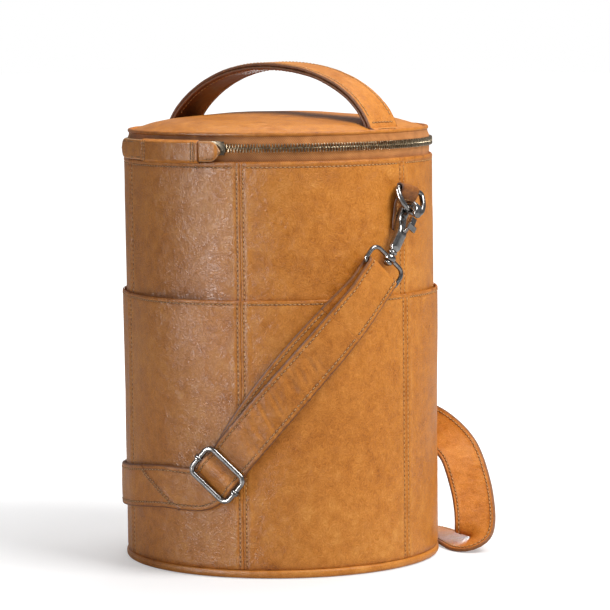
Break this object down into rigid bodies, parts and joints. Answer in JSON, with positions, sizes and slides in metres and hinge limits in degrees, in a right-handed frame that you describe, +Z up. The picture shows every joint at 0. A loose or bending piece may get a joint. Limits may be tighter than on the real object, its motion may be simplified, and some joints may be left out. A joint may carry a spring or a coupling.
{
  "type": "knitting bag",
  "caption": "Cylindrical leather knitting bag with zipped padded lid, top handle, outer pockets and clipped adjustable shoulder strap",
  "frame": {"origin": "centre of the flat base, on the surface that the bag stands on", "axes": "+Z up the bag, -Y the front with the sleeve for the zip pulls, +X the right ring"},
  "size_m": [0.2562, 0.2572, 0.3523],
  "materials": {
    "tan_leather": "waxed full-grain leather with a soft shine and fine creases",
    "tan_leather_dark": "same leather on its shaded or inner faces",
    "board": "plain stiff board",
    "foam": "soft padding",
    "lining_fabric": "plain woven cotton",
    "zip_tape": "twill zip tape",
    "aged_brass": "dark aged metal teeth",
    "dark_nickel": "darkened polished nickel"
  },
  "bodies": {
    "bag": {"base_panel": "tan_leather_dark", "base_board": "board", "base_rim": "tan_leather", "wall_panel_1": "tan_leather", "wall_panel_2": "tan_leather", "wall_panel_3": "tan_leather", "wall_panel_4": "tan_leather", "wall_panel_5": "tan_leather", "wall_panel_6": "tan_leather", "pocket_panel_1": "tan_leather", "pocket_panel_2": "tan_leather", "pocket_panel_3": "tan_leather", "pocket_panel_4": "tan_leather", "pocket_panel_5": "tan_leather", "pocket_panel_6": "tan_leather", "wall_stiffener": "board", "lining_wall": "lining_fabric", "lining_base": "lining_fabric", "zip_tape_lower": "zip_tape", "zip_teeth_lower": "aged_brass", "pull_keeper": "tan_leather", "back_hinge_lower": "tan_leather", "ring_tab_right": "tan_leather_dark", "ring_tab_left": "tan_leather_dark", "strap_main": "tan_leather", "strap_tail": "tan_leather_dark", "slide_buckle": "dark_nickel", "buckle_bar": "dark_nickel"},
    "lid": {"zip_tape_upper": "zip_tape", "zip_teeth_upper": "aged_brass", "back_hinge_upper": "tan_leather", "lid_top": "tan_leather", "lid_rim": "tan_leather", "lid_foam": "foam", "lid_board": "board", "lid_lining": "lining_fabric", "handle_outer_ply": "tan_leather", "handle_core": "foam", "handle_inner_ply": "tan_leather_dark"},
    "slider_right": {"zip_slider_right": "aged_brass", "zip_pull_right": "tan_leather"},
    "slider_left": {"zip_slider_left": "aged_brass", "zip_pull_left": "tan_leather"},
    "ring_right": {"d_ring_right": "dark_nickel", "swivel_loop_right": "dark_nickel", "strap_fold_right": "tan_leather"},
    "hook_right": {"snap_hook_right": "dark_nickel", "gate_pin_right": "dark_nickel", "gate_spring_right": "dark_nickel"},
    "gate_right": {"hook_gate_right": "dark_nickel"},
    "ring_left": {"d_ring_left": "dark_nickel", "swivel_loop_left": "dark_nickel", "strap_fold_left": "tan_leather"},
    "hook_left": {"snap_hook_left": "dark_nickel", "gate_pin_left": "dark_nickel", "gate_spring_left": "dark_nickel"},
    "gate_left": {"hook_gate_left": "dark_nickel"}
  },
  "joints": [
    {"name": "lid_hinge", "type": "hinge", "parent": "bag", "child": "lid", "pos_m": [0, 0.1118, 0.296], "axis": [-1, 0, 0], "range_deg": [0, 120]},
    {"name": "zip_slider_right_travel", "type": "hinge", "parent": "bag", "child": "slider_right", "pos_m": [0, 0, 0.296], "axis": [0, 0, 1], "range_deg": [0, 118]},
    {"name": "zip_slider_left_travel", "type": "hinge", "parent": "bag", "child": "slider_left", "pos_m": [0, 0, 0.296], "axis": [0, 0, -1], "range_deg": [0, 107]},
    {"name": "d_ring_right_swing", "type": "hinge", "parent": "bag", "child": "ring_right", "pos_m": [0.11357, 0.00994, 0.264], "axis": [0.0852, -0.9744, 0.2079], "range_deg": [0, 25]},
    {"name": "hook_right_swivel", "type": "hinge", "parent": "ring_right", "child": "hook_right", "pos_m": [0.12094, 0.00242, 0.24961], "axis": [0.0906, 0.5204, 0.8491], "range_deg": [-12, 12]},
    {"name": "hook_right_gate", "type": "hinge", "parent": "hook_right", "child": "gate_right", "pos_m": [0.12016, -0.00552, 0.23666], "axis": [0, -0.8526, 0.5225], "range_deg": [0, 22], "stiffness_Nm_per_rad": 0.01, "springref_deg": -17.19},
    {"name": "d_ring_left_swing", "type": "hinge", "parent": "bag", "child": "ring_left", "pos_m": [-0.11357, -0.00994, 0.264], "axis": [-0.0852, 0.9744, 0.2079], "range_deg": [0, 25]},
    {"name": "hook_left_swivel", "type": "hinge", "parent": "ring_left", "child": "hook_left", "pos_m": [-0.12094, -0.00242, 0.24961], "axis": [-0.0906, -0.5204, 0.8491], "range_deg": [-12, 12]},
    {"name": "hook_left_gate", "type": "hinge", "parent": "hook_left", "child": "gate_left", "pos_m": [-0.12016, 0.00552, 0.23666], "axis": [0, 0.8526, 0.5225], "range_deg": [0, 22], "stiffness_Nm_per_rad": 0.01, "springref_deg": -17.19}
  ]
}
